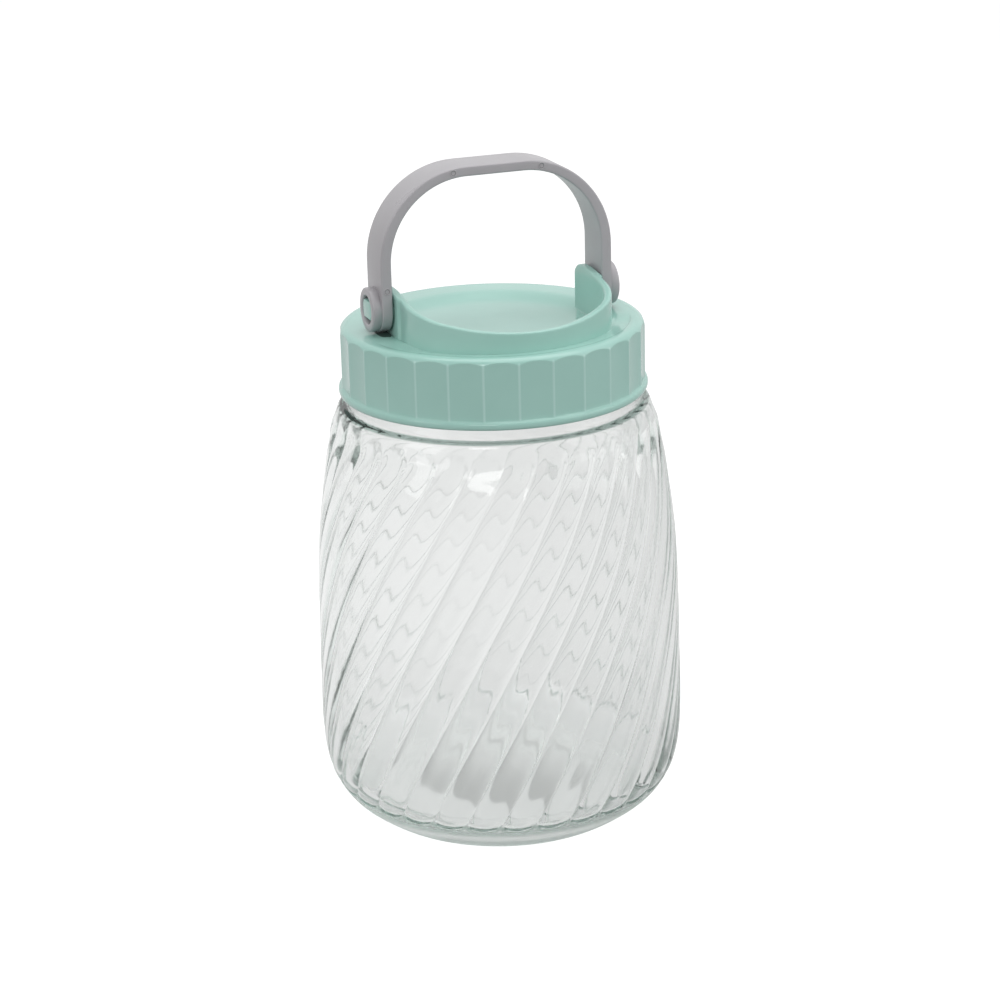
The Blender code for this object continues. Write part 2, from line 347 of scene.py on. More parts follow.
def spun_x(name, profile, material, body, side):
    """A ring or disc turned about the pivot axis from (x, radius), closed or ending on the axis."""
    rows = []
    for x, r in profile:
        rows.append([(side * x, side * r * cos(t), PIVOT_Z + r * sin(t))
                     for t in circle(ROUND_SEGMENTS)])
    if profile[0][1] == 0.0:
        verts, faces = skin(rows[1:-1], start=rows[0][0], end=rows[-1][0])
    else:
        verts, faces = skin(rows, loop=True)
    new_object(name, verts, turned_over(faces), material, body)


# Node helpers

def base_material(name):
    """A material with its tree, its shader and the object's own coordinates."""
    mat = bpy.data.materials.new(name)
    mat.use_nodes = True
    tree = mat.node_tree
    shader = tree.nodes["Principled BSDF"]
    coords = tree.nodes.new("ShaderNodeTexCoord").outputs["Object"]
    return mat, tree, shader, coords


def math_node(tree, operation, *values):
    """One step of arithmetic on numbers and outputs."""
    node = tree.nodes.new("ShaderNodeMath")
    node.operation = operation
    for value, socket in zip(values, node.inputs):
        if isinstance(value, float):
            socket.default_value = value
        else:
            tree.links.new(value, socket)
    return node.outputs[0]


def product(tree, first, second):
    return math_node(tree, "MULTIPLY", first, second)


def vector_node(tree, operation, vector, other=None):
    """One step of vector arithmetic, with a fixed second vector if one is given."""
    node = tree.nodes.new("ShaderNodeVectorMath")
    node.operation = operation
    tree.links.new(vector, node.inputs[0])
    if other is not None:
        node.inputs[1].default_value = other
    return node.outputs["Value" if operation in ("LENGTH", "DOT_PRODUCT") else "Vector"]


def separate(tree, vector):
    """X, Y and Z of a vector, by name."""
    node = tree.nodes.new("ShaderNodeSeparateXYZ")
    tree.links.new(vector, node.inputs["Vector"])
    return node.outputs


def map_range(tree, value, start, stop, low=0.0, high=1.0, kind="SMOOTHSTEP"):
    """Carries a value from one range to another and holds it at the ends."""
    node = tree.nodes.new("ShaderNodeMapRange")
    node.interpolation_type = kind
    node.inputs["From Min"].default_value = start
    node.inputs["From Max"].default_value = stop
    node.inputs["To Min"].default_value = low
    node.inputs["To Max"].default_value = high
    tree.links.new(value, node.inputs["Value"])
    return node.outputs["Result"]


def fade_in(tree, value, limits):
    """0 at the first limit and 1 at the second, both in millimetres."""
    return map_range(tree, value, limits[0] * MM, limits[1] * MM)


def noise(tree, coords, scale, detail=3.0, roughness=0.5):
    node = tree.nodes.new("ShaderNodeTexNoise")
    node.inputs["Scale"].default_value = scale
    node.inputs["Detail"].default_value = detail
    node.inputs["Roughness"].default_value = roughness
    tree.links.new(coords, node.inputs["Vector"])
    return node.outputs["Fac"]


def spread(tree, value, low, high):
    """The usual range of a noise carried to another range."""
    return map_range(tree, value, 0.3, 0.7, low, high, "LINEAR")


def ramp(tree, value, stops):
    """Colours by place along a value."""
    node = tree.nodes.new("ShaderNodeValToRGB")
    while len(node.color_ramp.elements) < len(stops):
        node.color_ramp.elements.new(0.5)
    for element, (place, colour) in zip(node.color_ramp.elements, stops):
        element.position = place
        element.color = (*colour, 1.0)
    tree.links.new(value, node.inputs["Fac"])
    return node.outputs["Color"]


def grey_ramp(tree, value, levels):
    return ramp(tree, value, [(place, (level, level, level)) for place, level in levels])


def bump(tree, height, strength, distance, below=None):
    """A normal raised by a height, on top of another if one is given."""
    node = tree.nodes.new("ShaderNodeBump")
    node.inputs["Strength"].default_value = strength
    node.inputs["Distance"].default_value = distance
    tree.links.new(height, node.inputs["Height"])
    if below is not None:
        tree.links.new(below, node.inputs["Normal"])
    return node.outputs["Normal"]


def mix_colour(tree, factor, first, second):
    """The first colour at 0 and the second at 1, each of them a colour or an output."""
    node = tree.nodes.new("ShaderNodeMix")
    node.data_type = "RGBA"
    tree.links.new(factor, node.inputs["Factor"])
    for name, colour in (("A", first), ("B", second)):
        if isinstance(colour, tuple):
            node.inputs[name].default_value = (*colour, 1.0)
        else:
            tree.links.new(colour, node.inputs[name])
    return node.outputs["Result"]


def mix_shader(tree, factor, first, second):
    node = tree.nodes.new("ShaderNodeMixShader")
    for value, socket in zip((factor, first, second), node.inputs):
        tree.links.new(value, socket)
    return node.outputs["Shader"]


def axis_distance(tree, coords):
    """Distance from the jar's axis."""
    return vector_node(tree, "LENGTH", vector_node(tree, "MULTIPLY", coords, (1.0, 1.0, 0.0)))


def pitch_distance(tree, parts, count, phase, twist):
    """Distance round the axis from the nearest of a number of even places, in pitches.

    The places lean by the twist for each metre of height.
    """
    pitches = count / (2 * pi)
    turn = math_node(tree, "ARCTAN2", parts["Y"], parts["X"])
    steps = math_node(tree, "MULTIPLY_ADD", turn, pitches, (pi / 2 - phase) * pitches)
    lean = math_node(tree, "MULTIPLY_ADD", parts["Z"], -twist * pitches, steps)
    return math_node(tree, "PINGPONG", lean, 0.5)


def bent_ray(tree):
    """1 for rays that come by a reflection or through glass."""
    path = tree.nodes.new("ShaderNodeLightPath").outputs
    return math_node(tree, "MAXIMUM", path["Is Glossy Ray"], path["Is Transmission Ray"])


def camera_ray(tree, strength):
    """A strength that only the camera sees."""
    path = tree.nodes.new("ShaderNodeLightPath").outputs
    return math_node(tree, "MULTIPLY", path["Is Camera Ray"], strength)


# Materials

def moulded_plastic(name, colours, rough, grain):
    """Satin moulded plastic: faint colour drift, uneven gloss and a fine mould grain."""
    mat, tree, shader, coords = base_material(name)
    drift = noise(tree, coords, 22.0, 4.0)
    colour = ramp(tree, drift, [(0.35, colours[0]), (0.65, colours[1])])
    tree.links.new(colour, shader.inputs["Base Color"])
    gloss = noise(tree, coords, 60.0, 5.0, 0.6)
    tree.links.new(spread(tree, gloss, rough - 0.05, rough + 0.06), shader.inputs["Roughness"])
    broad = bump(tree, noise(tree, coords, 45.0, 2.0), 0.12, 0.0004)
    fine = bump(tree, noise(tree, coords, 1500.0, 2.0), grain, 0.00012, broad)
    tree.links.new(fine, shader.inputs["Normal"])
    shader.inputs["Specular IOR Level"].default_value = 0.5
    return mat


def fluted_plastic(name, colours, rough, grain):
    """The lid's plastic, with a painted highlight: a paler line along the ridges between the flutes.
    """
    mat = moulded_plastic(name, colours, rough, grain)
    tree = mat.node_tree
    base = tree.nodes["Principled BSDF"].inputs["Base Color"]
    place = tree.nodes.new("ShaderNodeTexCoord").outputs["Object"]
    parts = separate(tree, place)
    off = pitch_distance(tree, parts, FLUTES, FLUTE_PHASE, 0.0)
    outside = fade_in(tree, axis_distance(tree, place), RIDGE_OUTSIDE)
    # Painted highlight along each ridge of the skirt
    ridge_highlight = product(tree, map_range(tree, off, *RIDGE_LINE), outside)
    ridge_highlight = product(tree, ridge_highlight, fade_in(tree, parts["Z"], RIDGE_FOOT))
    tree.links.new(mix_colour(tree, ridge_highlight, base.links[0].from_socket, MINT_RIDGE_HIGHLIGHT), base)
    return mat


def toe_shade_lines(tree, parts, outside):
    """1 on a fine arc round the toe of each reed, where a dark line of painted shade goes."""
    start = REED_PHASE - REED_TWIST * REED_FOOT
    off = pitch_distance(tree, parts, REEDS, start, REED_TWIST / MM)
    bow = -4.0 * TOE_LINE_BOW * MM
    arc = math_node(tree, "MULTIPLY_ADD", product(tree, off, off), bow, parts["Z"])
    line = math_node(tree, "COMPARE", arc, TOE_LINE_Z * MM, TOE_LINE_HALF * MM)
    return product(tree, product(tree, line, map_range(tree, off, *TOE_LINE)), outside)


def jar_glass(name):
    """Clear pressed glass: faintly wavy, dull at neck and heel, and open to the lamps' light.

    Its volume makes it green where it is thick; dark green lines of painted shade lie on its surface
    along the ledge under the neck and round the toes.
    """
    mat, tree, shader, coords = base_material(name)
    shader.inputs["Transmission Weight"].default_value = 1.0
    shader.inputs["IOR"].default_value = 1.5
    parts = separate(tree, coords)
    height = parts["Z"]
    reach = axis_distance(tree, coords)
    slant = math_node(tree, "MULTIPLY_ADD", height, -HEEL_SLOPE, reach)
    outside = fade_in(tree, slant, HEEL_OUTSIDE)
    haze = spread(tree, noise(tree, coords, 30.0, 4.0), 0.05, 0.09)
    neck = fade_in(tree, height, NECK_DULL)
    heel = product(tree, fade_in(tree, height, HEEL_DULL), outside)
    for share, dullness in ((neck, 0.22), (heel, 0.30)):
        haze = math_node(tree, "MAXIMUM", haze, product(tree, share, dullness))
    tree.links.new(haze, shader.inputs["Roughness"])
    # Painted shade: a dark green line along the ledge under the neck and round the toes
    ledge = product(tree, fade_in(tree, height, LEDGE_FOOT), fade_in(tree, height, LEDGE_HEAD))
    ledge = product(tree, ledge, fade_in(tree, reach, LEDGE_OUTSIDE))
    painted_shade = math_node(tree, "MAXIMUM", ledge, toe_shade_lines(tree, parts, outside))
    colour = mix_colour(tree, painted_shade, GLASS_CLEAR, GLASS_PAINTED_SHADE)
    tree.links.new(colour, shader.inputs["Base Color"])
    swell = bump(tree, noise(tree, coords, 38.0, 2.0), 0.10, 0.002)
    tree.links.new(swell, shader.inputs["Normal"])
    clear = tree.nodes.new("ShaderNodeBsdfTransparent")
    clear.inputs["Color"].default_value = (*GLASS_SHADOW, 1.0)
    shadow = tree.nodes.new("ShaderNodeLightPath").outputs["Is Shadow Ray"]
    surface = mix_shader(tree, shadow, shader.outputs["BSDF"], clear.outputs["BSDF"])
    tint = tree.nodes.new("ShaderNodeVolumeAbsorption")
    tint.inputs["Color"].default_value = (*GLASS_TINT, 1.0)
    tint.inputs["Density"].default_value = GLASS_DENSITY
    out = tree.nodes["Material Output"]
    tree.links.new(surface, out.inputs["Surface"])
    tree.links.new(tint.outputs["Volume"], out.inputs["Volume"])
    return mat


def seal_rubber(name):
    """Soft pale rubber with a fine grain."""
    mat, tree, shader, coords = base_material(name)
    tone = ramp(tree, noise(tree, coords, 90.0), [(0.3, RUBBER[0]), (0.7, RUBBER[1])])
    tree.links.new(tone, shader.inputs["Base Color"])
    rough = spread(tree, noise(tree, coords, 200.0), 0.5, 0.65)
    tree.links.new(rough, shader.inputs["Roughness"])
    grain = bump(tree, noise(tree, coords, 900.0), 0.08, 0.0002)
    tree.links.new(grain, shader.inputs["Normal"])
    return mat


glass = jar_glass("clear_pressed_glass")
mint = moulded_plastic("mint_moulded", MINT, 0.15, 0.05)
ridged = fluted_plastic("mint_fluted", MINT, 0.15, 0.05)
hollow_shade = moulded_plastic("grey_painted_shade", GREY_SHADE, 0.55, 0.12)
grey = moulded_plastic("grey_moulded", GREY, 0.32, 0.10)
# Near-black mint for the painted shadows under the handle's legs
shade = moulded_plastic("mint_painted_shadow", MINT_SHADE, 0.6, 0.1)
rubber = seal_rubber("pale_seal_rubber")


# Jar

def reed_columns():
    """Angle and place across its reed, from -1 to 1, of each column of points."""
    columns = []
    for k in range(REEDS):
        for i in range(REED_COLUMNS):
            across = sin(pi / 2 * (2.0 * i / REED_COLUMNS - 1.0))
            columns.append((2 * pi * k / REEDS + across * pi / REEDS, across))
    return columns


def reed_turn(z):
    """Turn of the reeds at a height."""
    climb = min(TWIST_HIGH, max(TWIST_LOW, z)) - REED_FOOT
    return REED_PHASE - pi / 2 + REED_TWIST * climb


def reed_height(across, z):
    """Height of a reed above the groove: a flat face with round shoulders.

    The shoulders fall to a V at its sides, its toe and its tip.
    """
    toe = max(0.0, (TOE_Z + TOE_LENGTH - z) / TOE_LENGTH)
    tip = min(1.0, max(0.0, (z - TIP_Z + TIP_LENGTH) / TIP_LENGTH))
    edge = (abs(across) ** REED_ROUND + max(toe, tip) ** REED_ROUND) ** (1.0 / REED_ROUND)
    cut = TOE_CUT * min(1.0, toe) * max(0.0, 1.0 - abs(edge - 1.0) / TOE_CUT_REACH)
    if edge > 1.0:
        past = min(1.0, (edge - 1.0) / TOE_RISE) if toe > 0.0 else 0.0
        crease = max(0.0, 1.0 - CREASE_FALL * past)
        return REED_DEPTH * (1.0 - (1.0 - past) ** 2) - CREASE_DEPTH * crease - cut
    shoulder = max(0.0, (edge - REED_FACE) / (1.0 - REED_FACE))
    crease = max(0.0, (edge - CREASE_START) / (1.0 - CREASE_START))
    bow = REED_BOW * edge ** 2 * (1.0 - edge ** 2)
    return REED_DEPTH * (1.0 - shoulder ** 2) + bow - CREASE_DEPTH * crease - cut


def groove_depth(z):
    """How far the grooves between the reeds lie below the crests, fading out at the shoulder."""
    return REED_DEPTH * (1.0 - smooth_step(*GROOVE_FADE, z))


def thread_height(turn, z, start_z):
    """Share of its full height that either thread bead has at a place on a neck or a bore."""
    best = 0.0
    for start in (0.0, pi):
        for lap in (-1, 0, 1):
            along = (turn - start) % (2 * pi) + lap * 2 * pi
            if 0.0 <= along <= THREAD_SWEEP:
                off = abs(z - start_z - THREAD_LEAD * along / (2 * pi)) / THREAD_HALF
                fade = min(1.0, along / THREAD_FADE, (THREAD_SWEEP - along) / THREAD_FADE)
                if off < 1.0:
                    best = max(best, fade * cos(off * pi / 2) ** THREAD_ROUND)
    return best


def outside_step(point):
    """Spacing of the rows outside the jar: fine at the heel and under the neck."""
    return FINE_STEP if point.y < FINE_BELOW or point.y > FINE_ABOVE else OUTSIDE_STEP


def build_jar():
    """The glass body, row by row from the inside of its base, over the lip, to its underside."""
    inside = [
        (6.0, BASE_TOP), (18.0, 8.2), (30.0, 8.0), (40.0, 7.8), (50.0, 8.0), (58.0, 9.4),
        (64.5, 12.8), (69.0, 18.6), (71.8, 27.0), (73.2, 42.0), (73.3, 60.0), (72.9, 89.0),
        (71.1, 125.0), (69.4, 141.0), (67.4, 153.0), (65.4, 161.0), (63.2, 166.0), (61.2, 170.0),
        (60.2, 173.5), (59.9, 177.0), (59.75, 180.0), (59.2, 183.0), (57.8, 186.5), (56.2, 190.0),
        (55.4, 194.0), (MOUTH_RADIUS, 198.0), (MOUTH_RADIUS, 208.6),
    ]
    lip = [(55.5, 209.9), (56.2, 210.65), (57.3, LIP_Z), (58.4, 210.65), (59.1, 209.9)]
    outside = [
        (59.4, 187.9), (60.0, 187.2), (61.0, 186.5), (61.5, 185.9), (61.75, 185.0), (61.9, 184.0),
        (62.0, 182.4), (62.25, 181.7), (62.9, 181.42), (63.8, 181.4), (64.8, 181.32),
        (65.6, 180.8), (66.2, 179.8), (66.8, 178.2), (67.6, 175.8), (69.2, 170.0), (71.5, 159.0),
        (73.6, 145.0), (75.8, 128.0), (77.1, 109.0), (77.7, 89.0), (78.1, 68.0), (78.4, 48.0),
        (78.1, 34.0), (77.0, 25.0), (75.6, 19.5), (73.8, 15.5), (71.7, 12.0), (69.3, 9.0),
        (66.4, 6.4), (63.3, 4.0), (60.6, 2.1), (58.5, 0.8), (56.9, 0.12), (55.6, 0.0),
    ]
    under = [(52.0, 0.0), (50.8, 0.03), (48.0, 0.2), (44.0, 0.46), (36.0, 0.98), (26.0, 1.5),
             (14.0, 1.85)]
    columns = reed_columns()
    upper = [a + reed_turn(TWIST_HIGH) for a, _ in columns]
    lower = [a + reed_turn(TWIST_LOW) for a, _ in columns]
    rows = [ring(upper, r, z) for r, z in smooth_path(inside, lambda point: INSIDE_STEP) + lip]
    for i in range(NECK_ROWS):
        z = NECK_TOP - NECK_STEP * i
        beads = [NECK_THREAD * thread_height(a, z, THREAD_START) for a in upper]
        rows.append(ring(upper, [NECK_RADIUS + bead for bead in beads], z))
    for r, z in smooth_path(outside, outside_step):
        turn = reed_turn(z)
        radii = [r - groove_depth(z) + reed_height(across, z) for _, across in columns]
        rows.append(ring([a + turn for a, _ in columns], radii, z))
    rows += [ring(lower, r, z) for r, z in under]
    verts, faces = skin(rows, start=(0.0, 0.0, BASE_TOP), end=(0.0, 0.0, PUSH_UP))
    new_object("jar_glass", verts, faces, glass, "jar", "glass_jar")


# Lid

def channel_depth(angle):
    """Depth of the shallow channel round the foot of the front wall, ending beside the ears."""
    return CHANNEL_DEPTH * smooth_step(*CHANNEL_ENDS, -sin(angle))


def flute_columns():
    """Angle of each column of points round the lid, and the radius of the fluted skirt there."""
    angles, radii = [], []
    for k in range(FLUTES):
        for i in range(FLUTE_COLUMNS):
            across = sin(pi / 2 * (2.0 * i / FLUTE_COLUMNS - 1.0))
            middle = FLUTE_PHASE - pi / 2 + pi / FLUTES + 2 * pi * k / FLUTES
            angles.append(middle + across * pi / FLUTES)
            radii.append(RIDGE_RADIUS - FLUTE_DEPTH * (1.0 - across * across))
    return angles, radii


def build_lid_shell():
    """Dish, channel, fluted skirt, bead, threaded bore and underside, row by row."""
    dish = [
        (14.0, DISH_Z), (27.0, DISH_Z), (34.5, DISH_Z), (37.5, 213.06), (39.5, 213.22),
        (41.5, 213.55), (43.5, 214.15), (45.5, 214.85), (47.2, 215.33), (48.6, 215.58),
        (49.8, 215.68),
    ]
    channel = [(50.8, 0.6), (51.6, 1.0), (54.5, 1.0), (57.2, 1.0), (57.5, 0.93), (57.75, 0.6),
               (57.95, 0.2), (58.2, 0.0), (59.8, 0.0)]
    bead = [
        (64.3, 189.9), (64.75, 189.45), (64.95, 188.9), (BEAD_RADIUS, 188.3), (64.95, 187.7),
        (64.75, 187.2), (64.35, 186.85), (63.8, LID_BOTTOM), (61.9, LID_BOTTOM),
        (61.45, 186.85), (61.25, 187.25),
    ]
    under = [
        (61.1, 212.7), (60.7, 213.2), (60.0, 213.35), (49.5, 213.35), (47.5, 213.1),
        (45.5, 212.5), (43.5, 211.8), (41.5, 211.2), (39.5, 210.87), (37.5, 210.7),
        (34.5, DISH_UNDER), (20.0, DISH_UNDER),
    ]
    angles, flutes = flute_columns()
    rows = [ring(angles, r, z) for r, z in dish]
    for r, share in channel:
        rows.append(ring(angles, r, [LID_TOP - share * channel_depth(a) for a in angles]))
    inner = RIDGE_RADIUS - EDGE_ROUND
    bends = [asin(min(1.0, (flute - inner) / EDGE_ROUND)) for flute in flutes]
    for part in (0.0, 0.2, 0.4, 0.6, 0.8, 0.93, 1.0):
        radii = [inner + EDGE_ROUND * sin(part * bend) for bend in bends]
        heights = [LID_TOP - EDGE_ROUND * (1.0 - cos(part * bend)) for bend in bends]
        rows.append(ring(angles, radii, heights))
    for drop in (0.22, 0.7):
        rows.append(ring(angles, flutes, [height - drop for height in heights]))
    rows += [ring(angles, flutes, z) for z in (211.0, 205.0, 198.0, 192.0, 190.6)]
    rows.append(ring(angles, [flute + 0.12 for flute in flutes], 190.2))
    rows += [ring(angles, r, z) for r, z in bead]
    for i in range(BORE_ROWS):
        z = BORE_BOTTOM + BORE_STEP * i
        threads = [thread_height(a, z, THREAD_START - THREAD_LEAD / 4) for a in angles]
        rows.append(ring(angles, [BORE_RADIUS - LID_THREAD * thread for thread in threads], z))
    rows += [ring(angles, r, z) for r, z in under]
    verts, faces = skin(rows, start=(0.0, 0.0, DISH_Z), end=(0.0, 0.0, DISH_UNDER))
    new_object("lid_shell", verts, faces, ridged, "lid", "screw_lid")


def wall_top(y):
    """Height of the wall's top edge: low in front, rising to the ears, with a round back corner."""
    if y > EAR_BACK - EAR_ROUND:
        drop = (y - EAR_BACK + EAR_ROUND) / EAR_ROUND
        return EAR_TOP - EAR_ROUND * (1.0 - sqrt(max(0.0, 1.0 - drop * drop)))
    ahead = min(1.0, max(0.0, -y / WALL_RADIUS))
    return WALL_LOW + (EAR_TOP - WALL_LOW) * (1.0 - ahead ** WALL_SWEEP)


def wall_stations():
    """Places along the wall with the direction across it, from the left ear to the right ear."""
    front, bend, straight, corner = 44, 32, 22, 12
    reach = WALL_RADIUS - WALL_BEND
    join = -sqrt(reach ** 2 - (EAR_X - WALL_BEND) ** 2)
    swing = atan2(EAR_X - WALL_BEND, -join)
    half = []
    for i in range(front):
        a = swing * i / front
        half.append((WALL_RADIUS * sin(a), -WALL_RADIUS * cos(a), a))
    for i in range(bend + 1):
        a = swing + (pi / 2 - swing) * i / bend
        half.append((EAR_X - WALL_BEND + WALL_BEND * sin(a), join - WALL_BEND * cos(a), a))
    for i in range(1, straight):
        half.append((EAR_X, join + (EAR_BACK - EAR_ROUND - join) * i / straight, pi / 2))
    for i in range(corner + 1):
        a = radians(88.0 * i / corner)
        half.append((EAR_X, EAR_BACK - EAR_ROUND * (1.0 - sin(a)), pi / 2))
    stations = []
    for side, chain in ((-1, list(reversed(half[1:]))), (1, half)):
        for x, y, a in chain:
            stations.append((side * x, y, side * sin(a), -cos(a)))
    return stations


def lid_height(r):
    """Height of the lid's top at a radius: dish, slope and rim."""
    return DISH_Z + (LID_TOP - DISH_Z) * smooth_step(*DISH_SLOPE, r)


def build_wall():
    """The curved front wall that ends in the two ears."""
    rows = []
    quarter = [radians(22.5 * i) for i in range(1, 5)]
    for x, y, across_x, across_y in wall_stations():
        edge = max(0.0, (y - EAR_BACK + EAR_TAPER) / EAR_TAPER)
        half = WALL_HALF - EAR_THINNING * (1.0 - sqrt(max(0.0, 1.0 - edge * edge)))
        face = half + EAR_PROUD * smooth_step(EAR_FRONT, EAR_FRONT + EAR_TAPER, y)
        foot_out = lid_height(hypot(x, y) + half + 1.0) - channel_depth(atan2(y, x))
        foot_in = lid_height(hypot(x, y) - half)
        high = wall_top(y)
        low = high - WALL_ROUND
        section = [(face + 0.1, foot_out - 0.25), (face, foot_out + 0.1), (face, high - 3.0),
                   (face, low)]
        for a in quarter:
            section.append((face - WALL_ROUND + WALL_ROUND * cos(a), low + WALL_ROUND * sin(a)))
        for a in reversed(quarter):
            section.append((WALL_ROUND - half - WALL_ROUND * cos(a), low + WALL_ROUND * sin(a)))
        section += [(-half, low), (-half, high - 3.0), (-half, foot_in + 0.5),
                    (-half - 0.05, foot_in + 0.2), (-half - 0.3, foot_in - 0.25)]
        rows.append([(x + u * across_x, y + u * across_y, z) for u, z in section])
    verts, faces = skin(rows, capped=True)
    new_object("lid_front_wall", verts, faces, mint, "lid", sharp=LID_SHARP)


def build_pin(side, label):
    """Round pad on the ear and the flat-sided snap pin that the handle turns on."""
    pad = [(44.0, 0.0), (44.0, 7.4), (45.1, 7.4), (45.35, 7.3), (45.5, 7.0), (45.5, 0.0)]
    spun_x("ear_pad_" + label, pad, mint, "lid", side)
    outline = []
    for t in circle(ROUND_SEGMENTS):
        height = max(-PIN_HALF_HEIGHT, min(PIN_HALF_HEIGHT, PIN_RADIUS * sin(t)))
        outline.append((PIN_RADIUS * cos(t), height))
    rows = []
    for x, size in ((PIN_ROOT, 1.0), (53.5, 1.0), (53.9, 0.975), (54.2, 0.92), (PIN_END, 0.85)):
        rows.append([(side * x, side * size * y, PIVOT_Z + size * z) for y, z in outline])
    root, end = [(side * x, 0.0, PIVOT_Z) for x in (PIN_ROOT, PIN_END)]
    verts, faces = skin(rows, start=root, end=end)
    new_object("snap_pin_" + label, verts, turned_over(faces), mint, "lid",
               sharp=LID_SHARP)


def build_leg_shadow(side, label):
    """Flat dark sheet in the lid's top under a leg of the handle: a painted shadow."""
    bottom, top = LID_TOP - LEG_SHADOW_SINK, LID_TOP + LEG_SHADOW_PROUD
    middle = side * LEG_SHADOW_X
    rows = []
    for size, z in ((1.0, bottom), (1.0, LID_TOP + 0.02), (0.9, top)):
        row = []
        for t in circle(LEG_SHADOW_SEGMENTS):
            c, s = [copysign(sqrt(abs(v)), v) for v in (cos(t), sin(t))]
            row.append((middle + LEG_SHADOW_HALF_WIDTH * size * c, LEG_SHADOW_HALF_LENGTH * size * s, z))
        rows.append(row)
    verts, faces = skin(rows, start=(middle, 0.0, bottom), end=(middle, 0.0, top))
    new_object("leg_painted_shadow_" + label, verts, turned_over(faces), shade, "lid",
               sharp=LID_SHARP)


# Handle

def strap_line():
    """Outer line of the strap's right half, as (x, height above the pivot, lean), foot to crown."""
    foot, straight, bend, flat = 14, 8, 40, 8
    leg = HANDLE_FLAT + HANDLE_BEND
    centre = HANDLE_RISE - HANDLE_BEND
    line = []
    for i in range(foot + 1):
        line.append((leg, -STRAP_WIDTH / 2 * cos(radians(90.0 * i / foot)), 0.0))
    line += [(leg, centre * i / straight, 0.0) for i in range(1, straight)]
    for i in range(bend + 1):
        a = radians(90.0 * i / bend)
        line.append((HANDLE_FLAT + HANDLE_BEND * cos(a), centre + HANDLE_BEND * sin(a), a))
    line += [(HANDLE_FLAT * (1.0 - i / flat), HANDLE_RISE, pi / 2) for i in range(1, flat + 1)]
    return line


def rounded_section(half_width, half_thick, corner):
    """Points round a rectangle with rounded corners, as (across the strap, through it)."""
    corner = min(corner, half_width * 0.98)
    points = []
    for side_u, side_v, start in ((1, 1, 0.0), (-1, 1, 90.0), (-1, -1, 180.0), (1, -1, 270.0)):
        for i in range(6):
            a = radians(start + 90.0 * i / 5)
            points.append((side_u * (half_width - corner) + corner * cos(a),
                           side_v * (half_thick - corner) + corner * sin(a)))
    return points


def drill_eyes(strap):
    """Cuts the round eyes through both legs of the strap."""
    rows = []
    for x in (-DRILL_REACH, DRILL_REACH):
        rows.append([(x, EYE_RADIUS * cos(t), PIVOT_Z + EYE_RADIUS * sin(t))
                     for t in circle(ROUND_SEGMENTS)])
    start, end = [(x, 0.0, PIVOT_Z) for x in (-DRILL_REACH, DRILL_REACH)]
    verts, faces = skin(rows, start=start, end=end)
    drill = bpy.data.meshes.new("eye_drill")
    drill.from_pydata(in_metres(verts), [], turned_over(faces))
    tool = add_to_scene("eye_drill", drill)
    cut = strap.modifiers.new("eyes", "BOOLEAN")
    cut.operation = "DIFFERENCE"
    cut.solver = "EXACT"
    cut.object = tool
    bpy.context.view_layer.update()
    graph = bpy.context.evaluated_depsgraph_get()
    drilled = bpy.data.meshes.new_from_object(strap.evaluated_get(graph))
    strap.modifiers.clear()
    strap.data = drilled
    bpy.data.objects.remove(tool, do_unlink=True)
    drilled.shade_smooth()
    drilled.set_sharp_from_angle(angle=STRAP_SHARP)


def build_handle():
    """The strap with its eyes, and a ring boss on the outside of each leg."""
    half = strap_line()
    rows = []
    for x, z, lean in half + [(-x, z, pi - lean) for x, z, lean in reversed(half[:-1])]:
        below = min(0.0, z)
        width = sqrt(max(STRAP_LEAST_SQUARE, (STRAP_WIDTH / 2) ** 2 - below * below))
        thick = STRAP_THICKNESS + (STRAP_CROWN - STRAP_THICKNESS) * sin(lean)
        row = []
        for u, v in rounded_section(width, thick / 2, STRAP_CORNER):
            depth = v - thick / 2
            row.append((x + depth * cos(lean), u, PIVOT_Z + z + depth * sin(lean)))
        rows.append(row)
    verts, faces = skin(rows, capped=True)
    strap = new_object("handle_strap", verts, faces, grey, "handle",
                       "carry_handle")
    drill_eyes(strap)
    boss = [
        (48.5, EYE_RADIUS), (48.5, 9.2), (53.7, 9.2), (54.1, 9.08), (54.4, 8.75), (54.5, 8.3),
        (54.5, 6.6), (54.4, 6.25), (54.1, EYE_RADIUS),
    ]
    for side, label in SIDES:
        spun_x("handle_boss_" + label, boss, grey, "handle", side)


def build_marks():
    """Small ejector marks on the strap's front edge: two by the flat top, one on the left leg. Their
    hollows are coloured dark grey as painted shade.
    """
    crown = HANDLE_RISE - STRAP_CROWN / 2 - 0.2
    places = [(-18.3, crown), (20.0, crown - 0.4), (-48.2, 9.0)]
    rim = [(1.5, 0.05), (1.45, -0.16), (1.3, -0.24), (1.12, -0.2), (1.02, -0.05), (1.0, 0.05)]
    # The hollows are coloured dark grey as painted shade
    hollow = [(1.06, 0.06), (1.02, -0.03), (0.84, -0.03), (0.78, 0.06)]
    for name, profile, material in (("handle_ejector_rings", rim, grey),
                                    ("handle_ejector_hollows", hollow, hollow_shade)):
        verts, faces = [], []
        for x, z in places:
            rows = []
            for r, out in profile:
                rows.append([(x + r * cos(t), -STRAP_WIDTH / 2 + out, PIVOT_Z + z + r * sin(t))
                             for t in circle(MARK_SEGMENTS)])
            points, sides = skin(rows, loop=True)
            faces += [tuple(i + len(verts) for i in face) for face in turned_over(sides)]
            verts += points
        new_object(name, verts, faces, material, "handle")


# Seal

